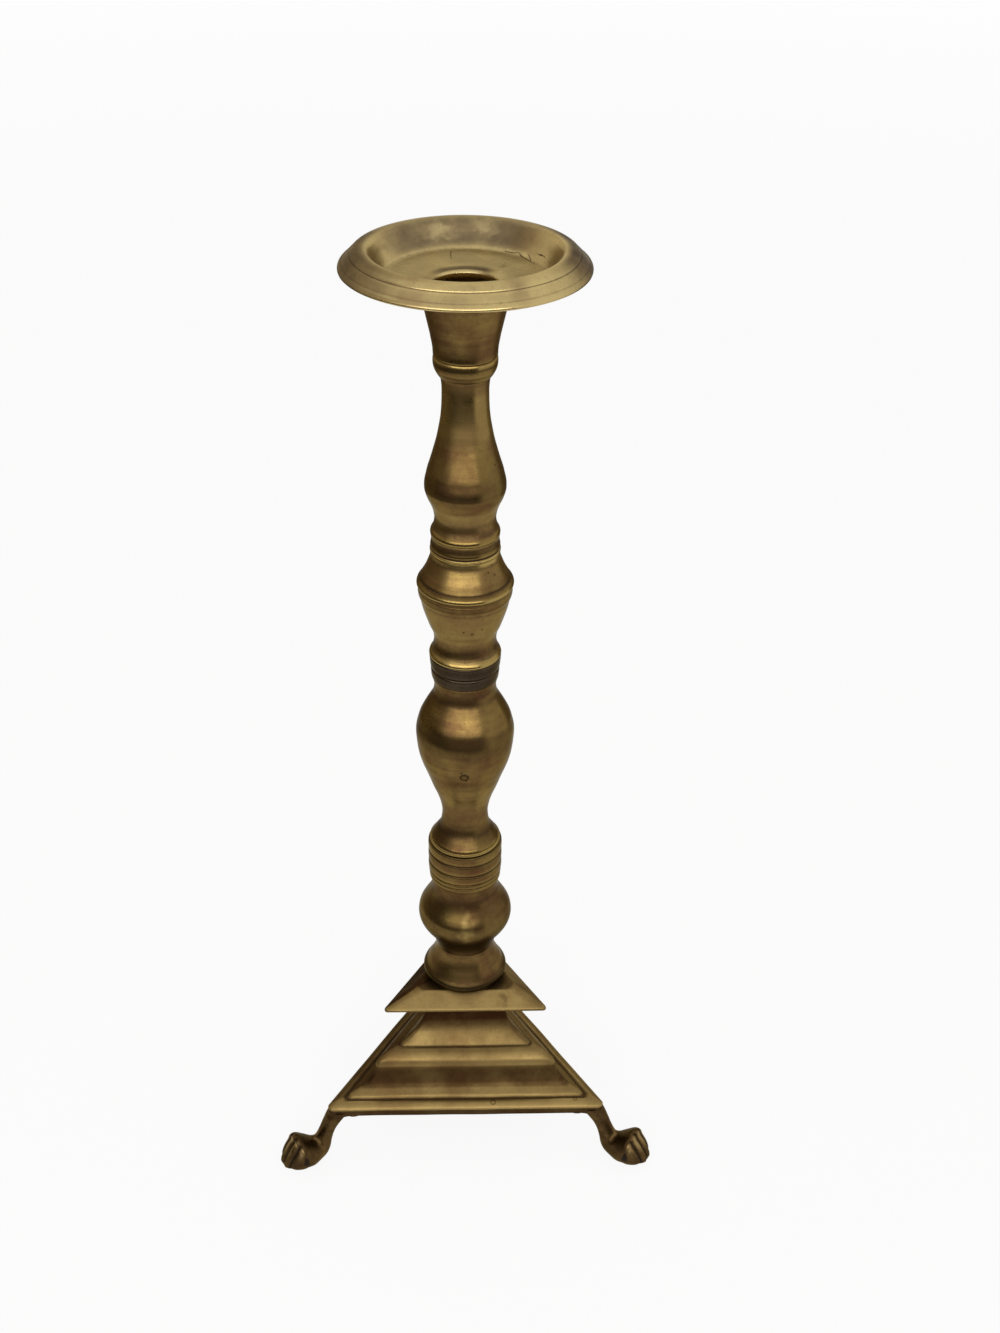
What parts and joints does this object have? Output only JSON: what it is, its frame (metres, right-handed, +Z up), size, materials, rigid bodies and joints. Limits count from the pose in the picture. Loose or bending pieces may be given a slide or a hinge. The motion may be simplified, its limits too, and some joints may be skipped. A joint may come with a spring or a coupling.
{
  "type": "candlestick",
  "caption": "Tall turned brass candlestick: a round drip pan over a flared socket, a baluster stem, and a moulded triangular base on paw feet.",
  "frame": {"origin": "middle of the bounding box, on the surface that the feet stand on; the stem's axis is 23.5 mm towards the front (-Y) of it, because one foot points back", "axes": "+Z up along the stem, -Y the front face of the base, +X to the right seen from the front"},
  "size_m": [0.1802, 0.1582, 0.4434],
  "materials": {
    "pan_brass": "aged, satin, scratched",
    "stem_brass": "aged, satin, browned",
    "base_brass": "aged, dull khaki",
    "foot_brass": "dark brown patina with worn toes",
    "tarnished_brass": "nearly black tarnish",
    "steel": "dull, slightly rusted"
  },
  "bodies": {
    "stand": {"candle_socket": "stem_brass", "socket_ring": "stem_brass", "upper_baluster": "stem_brass", "bead_ring": "stem_brass", "knop": "stem_brass", "vase": "stem_brass", "upper_joint_ring": "tarnished_brass", "lower_joint_ring": "tarnished_brass", "lower_baluster": "stem_brass", "ribbed_collar": "stem_brass", "ball_knop": "stem_brass", "foot_bell": "stem_brass", "cap_plate": "base_brass", "base_shell": "base_brass", "leg_front_left": "foot_brass", "leg_front_right": "foot_brass", "leg_back": "foot_brass", "leg_screws": "steel", "tie_rod": "steel", "rod_washer": "steel", "rod_nut": "steel"},
    "pan": {"drip_pan": "pan_brass"}
  },
  "joints": [
    {"name": "pan_lift", "type": "slide", "parent": "stand", "child": "pan", "axis": [0, 0, 1], "range_m": [0, 0.04]}
  ]
}
